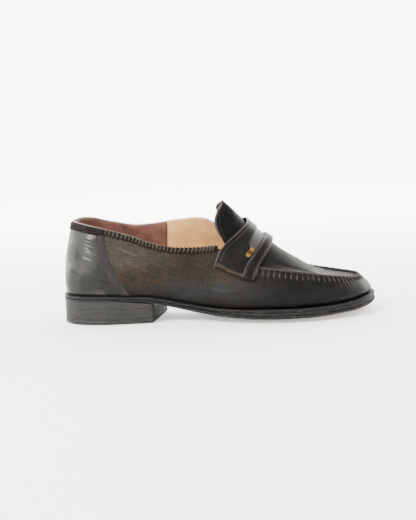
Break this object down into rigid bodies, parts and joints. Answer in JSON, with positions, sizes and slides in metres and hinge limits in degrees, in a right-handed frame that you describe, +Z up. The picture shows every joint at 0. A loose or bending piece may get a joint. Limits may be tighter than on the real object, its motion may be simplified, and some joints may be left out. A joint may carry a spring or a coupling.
{
  "type": "penny loafer",
  "caption": "Right-foot leather saddle loafer with a gathered moccasin toe, a slotted saddle strap with a plain metal bar, a standing tongue, stitched topline, leather sole and stacked heel.",
  "frame": {"origin": "on the ground under the middle of the shoe's length and width", "axes": "+X from the heel to the toe along the longest extent, +Y to the inner (medial) side of this right shoe, +Z up"},
  "size_m": [0.2998, 0.1049, 0.1106],
  "materials": {
    "sole_leather": "black-dyed edge, worn brown tread",
    "midsole_leather": "black-dyed edge",
    "welt_leather": "black-dyed, waxed",
    "cork": "cork composition, hidden",
    "fibreboard": "fibreboard, hidden",
    "shank_steel": "plain strip, hidden",
    "insole_leather": "natural vegetable tan",
    "sock_leather": "smooth tan",
    "heel_pad_leather": "smooth brown, worn",
    "lift_leather": "stacked, black-dyed edge",
    "top_lift_rubber": "matte black",
    "brad_steel": "dull",
    "upper_leather": "black, fine grain, semi-gloss polish",
    "strip_leather": "black, semi-gloss",
    "heel_lining_leather": "glossy reddish brown",
    "lining_leather": "smooth tan",
    "binding_leather": "black, folded",
    "thread": "waxed black thread",
    "tongue_lining_leather": "smooth brown",
    "strap_leather": "black, semi-gloss",
    "backing_leather": "matte black",
    "plate_brass": "polished, lightly worn"
  },
  "bodies": {
    "shoe": {"outsole": "sole_leather", "midsole": "midsole_leather", "welt": "welt_leather", "cork_filler": "cork", "heel_seat_board": "fibreboard", "shank": "shank_steel", "insole": "insole_leather", "sock_lining": "sock_leather", "heel_pad": "heel_pad_leather", "heel_lift_lower": "lift_leather", "heel_lift_middle": "lift_leather", "heel_lift_wedge": "lift_leather", "top_lift": "top_lift_rubber", "heel_brads": "brad_steel", "vamp_wall": "upper_leather", "counter": "upper_leather", "counter_strip_outer": "strip_leather", "counter_strip_inner": "strip_leather", "counter_stiffener": "fibreboard", "heel_lining": "heel_lining_leather", "quarter_lining_outer": "lining_leather", "quarter_lining_inner": "lining_leather", "vamp_lining": "lining_leather", "toe_puff": "fibreboard", "topline_binding": "binding_leather", "topline_stitches": "thread", "apron": "upper_leather", "apron_lining": "lining_leather", "seam_thread": "thread", "tongue_root": "upper_leather", "saddle_strap": "strap_leather", "saddle_front_band": "strap_leather", "saddle_backing": "backing_leather", "saddle_stitches": "thread", "saddle_plate": "plate_brass"},
    "tongue": {"tongue": "upper_leather", "tongue_lining": "tongue_lining_leather"}
  },
  "joints": [
    {"name": "tongue_flex", "type": "hinge", "parent": "shoe", "child": "tongue", "pos_m": [0.026, 0, 0.0895], "axis": [0, 1, 0], "range_deg": [-5, 20], "stiffness_Nm_per_rad": 0.25}
  ]
}
